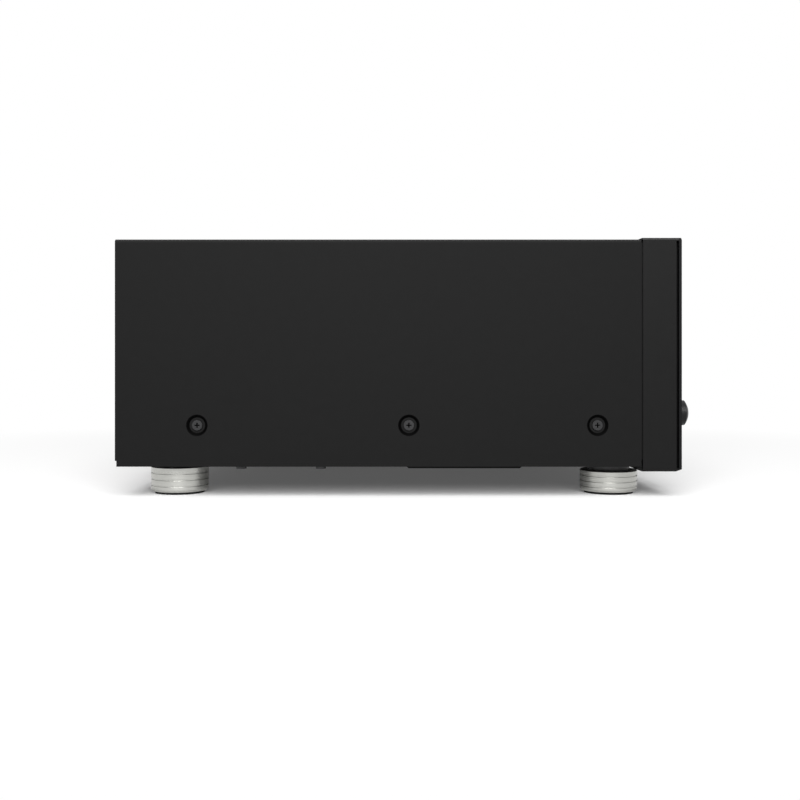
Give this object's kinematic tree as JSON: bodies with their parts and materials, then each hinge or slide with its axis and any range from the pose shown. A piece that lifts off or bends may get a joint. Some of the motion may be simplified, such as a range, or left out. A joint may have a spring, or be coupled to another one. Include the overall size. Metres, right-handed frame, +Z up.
{
  "type": "av receiver",
  "caption": "Full-width black home theatre receiver on silver ringed feet, with turning knobs, pressing keys, screw-down speaker terminals and a fan.",
  "frame": {"origin": "on the surface it stands on, below the middle of the whole part, knobs and terminals included", "axes": "+X to the right of someone facing the front, -Y towards that person, +Z up"},
  "size_m": [0.435, 0.4194, 0.175],
  "materials": {
    "black_steel": "fine-textured black paint",
    "plated_steel": "zinc plating",
    "black_moulding": "fine-grained black",
    "black_front": "satin black",
    "screw_steel": "satin black",
    "silver_ring": "satin silver plating",
    "rubber": "matt",
    "black_knob": "satin black",
    "shaft_steel": "turned",
    "dark_window": "polished dark tint",
    "display_glass": "smooth",
    "green_board": "solder mask",
    "gold_plating": "gold plated",
    "black_cap": "satin",
    "red_cap": "satin",
    "transformer_steel": "varnished plates",
    "copper_winding": "varnished tape",
    "black_aluminium": "black anodised",
    "brown_board": "bare laminate",
    "capacitor_sleeve": "shrink sleeve"
  },
  "bodies": {
    "casing": {"top_cover": "black_steel", "bottom_chassis": "plated_steel", "rear_panel": "black_steel", "front_frame": "black_moulding", "front_plate": "black_front", "front_subpanel": "plated_steel", "cover_side_screws": "screw_steel", "rear_screws": "screw_steel", "bottom_screws": "screw_steel", "front_foot_rings": "silver_ring", "rear_foot_rings": "silver_ring", "foot_cores": "black_moulding", "foot_pads": "rubber", "volume_encoder": "plated_steel", "selector_encoder": "plated_steel", "tact_switches": "black_moulding", "display_window": "dark_window", "display_module": "display_glass", "front_board": "green_board", "headphone_socket": "black_moulding", "front_data_socket": "plated_steel", "front_phono_sockets": "gold_plating", "digital_video_sockets": "plated_steel", "network_socket": "plated_steel", "rear_phono_sockets": "gold_plating", "aerial_sockets": "plated_steel", "mains_inlet": "black_moulding", "speaker_terminals": "black_moulding", "speaker_studs": "gold_plating", "transformer_core": "transformer_steel", "transformer_windings": "copper_winding", "heat_sink": "black_aluminium", "power_transistors": "black_moulding", "board_posts": "plated_steel", "amplifier_board": "brown_board", "power_supply_board": "brown_board", "reservoir_capacitors": "capacitor_sleeve", "main_board": "green_board", "fan_frame": "black_moulding"},
    "volume_knob": {"volume_knob": "black_knob", "volume_shaft": "shaft_steel"},
    "selector_knob": {"selector_knob": "black_knob", "selector_shaft": "shaft_steel"},
    "power_button": {"power_button": "black_knob"},
    "fan_rotor": {"fan_rotor": "black_moulding"},
    "key_1": {"key_1": "black_knob"},
    "key_2": {"key_2": "black_knob"},
    "key_3": {"key_3": "black_knob"},
    "key_4": {"key_4": "black_knob"},
    "key_5": {"key_5": "black_knob"},
    "speaker_cap_1": {"speaker_cap_1": "black_cap"},
    "speaker_cap_2": {"speaker_cap_2": "red_cap"},
    "speaker_cap_3": {"speaker_cap_3": "black_cap"},
    "speaker_cap_4": {"speaker_cap_4": "red_cap"},
    "speaker_cap_5": {"speaker_cap_5": "black_cap"},
    "speaker_cap_6": {"speaker_cap_6": "red_cap"},
    "speaker_cap_7": {"speaker_cap_7": "black_cap"},
    "speaker_cap_8": {"speaker_cap_8": "red_cap"},
    "speaker_cap_9": {"speaker_cap_9": "black_cap"},
    "speaker_cap_10": {"speaker_cap_10": "red_cap"}
  },
  "joints": [
    {"name": "volume_turn", "type": "hinge", "parent": "casing", "child": "volume_knob", "pos_m": [0.146, -0.18775, 0.122], "axis": [0, -1, 0], "continuous": true},
    {"name": "selector_turn", "type": "hinge", "parent": "casing", "child": "selector_knob", "pos_m": [-0.143, -0.18775, 0.122], "axis": [0, -1, 0], "continuous": true},
    {"name": "power_press", "type": "slide", "parent": "casing", "child": "power_button", "axis": [0, 1, 0], "range_m": [0, 0.0025], "stiffness_N_per_m": 800},
    {"name": "key_1_press", "type": "slide", "parent": "casing", "child": "key_1", "axis": [0, 1, 0], "range_m": [0, 0.0008], "stiffness_N_per_m": 1500},
    {"name": "key_2_press", "type": "slide", "parent": "casing", "child": "key_2", "axis": [0, 1, 0], "range_m": [0, 0.0008], "stiffness_N_per_m": 1500},
    {"name": "key_3_press", "type": "slide", "parent": "casing", "child": "key_3", "axis": [0, 1, 0], "range_m": [0, 0.0008], "stiffness_N_per_m": 1500},
    {"name": "key_4_press", "type": "slide", "parent": "casing", "child": "key_4", "axis": [0, 1, 0], "range_m": [0, 0.0008], "stiffness_N_per_m": 1500},
    {"name": "key_5_press", "type": "slide", "parent": "casing", "child": "key_5", "axis": [0, 1, 0], "range_m": [0, 0.0008], "stiffness_N_per_m": 1500},
    {"name": "speaker_cap_1_turn", "type": "hinge", "parent": "casing", "child": "speaker_cap_1", "pos_m": [-0.1215, 0.19175, 0.05], "axis": [0, 1, 0], "range_deg": [0, 1440]},
    {"name": "speaker_cap_2_turn", "type": "hinge", "parent": "casing", "child": "speaker_cap_2", "pos_m": [-0.1025, 0.19175, 0.05], "axis": [0, 1, 0], "range_deg": [0, 1440]},
    {"name": "speaker_cap_3_turn", "type": "hinge", "parent": "casing", "child": "speaker_cap_3", "pos_m": [-0.0785, 0.19175, 0.05], "axis": [0, 1, 0], "range_deg": [0, 1440]},
    {"name": "speaker_cap_4_turn", "type": "hinge", "parent": "casing", "child": "speaker_cap_4", "pos_m": [-0.0595, 0.19175, 0.05], "axis": [0, 1, 0], "range_deg": [0, 1440]},
    {"name": "speaker_cap_5_turn", "type": "hinge", "parent": "casing", "child": "speaker_cap_5", "pos_m": [-0.0355, 0.19175, 0.05], "axis": [0, 1, 0], "range_deg": [0, 1440]},
    {"name": "speaker_cap_6_turn", "type": "hinge", "parent": "casing", "child": "speaker_cap_6", "pos_m": [-0.0165, 0.19175, 0.05], "axis": [0, 1, 0], "range_deg": [0, 1440]},
    {"name": "speaker_cap_7_turn", "type": "hinge", "parent": "casing", "child": "speaker_cap_7", "pos_m": [0.0075, 0.19175, 0.05], "axis": [0, 1, 0], "range_deg": [0, 1440]},
    {"name": "speaker_cap_8_turn", "type": "hinge", "parent": "casing", "child": "speaker_cap_8", "pos_m": [0.0265, 0.19175, 0.05], "axis": [0, 1, 0], "range_deg": [0, 1440]},
    {"name": "speaker_cap_9_turn", "type": "hinge", "parent": "casing", "child": "speaker_cap_9", "pos_m": [0.0505, 0.19175, 0.05], "axis": [0, 1, 0], "range_deg": [0, 1440]},
    {"name": "speaker_cap_10_turn", "type": "hinge", "parent": "casing", "child": "speaker_cap_10", "pos_m": [0.0695, 0.19175, 0.05], "axis": [0, 1, 0], "range_deg": [0, 1440]},
    {"name": "fan_spin", "type": "hinge", "parent": "casing", "child": "fan_rotor", "pos_m": [-0.112, 0.18, 0.122], "axis": [0, 1, 0], "continuous": true}
  ]
}
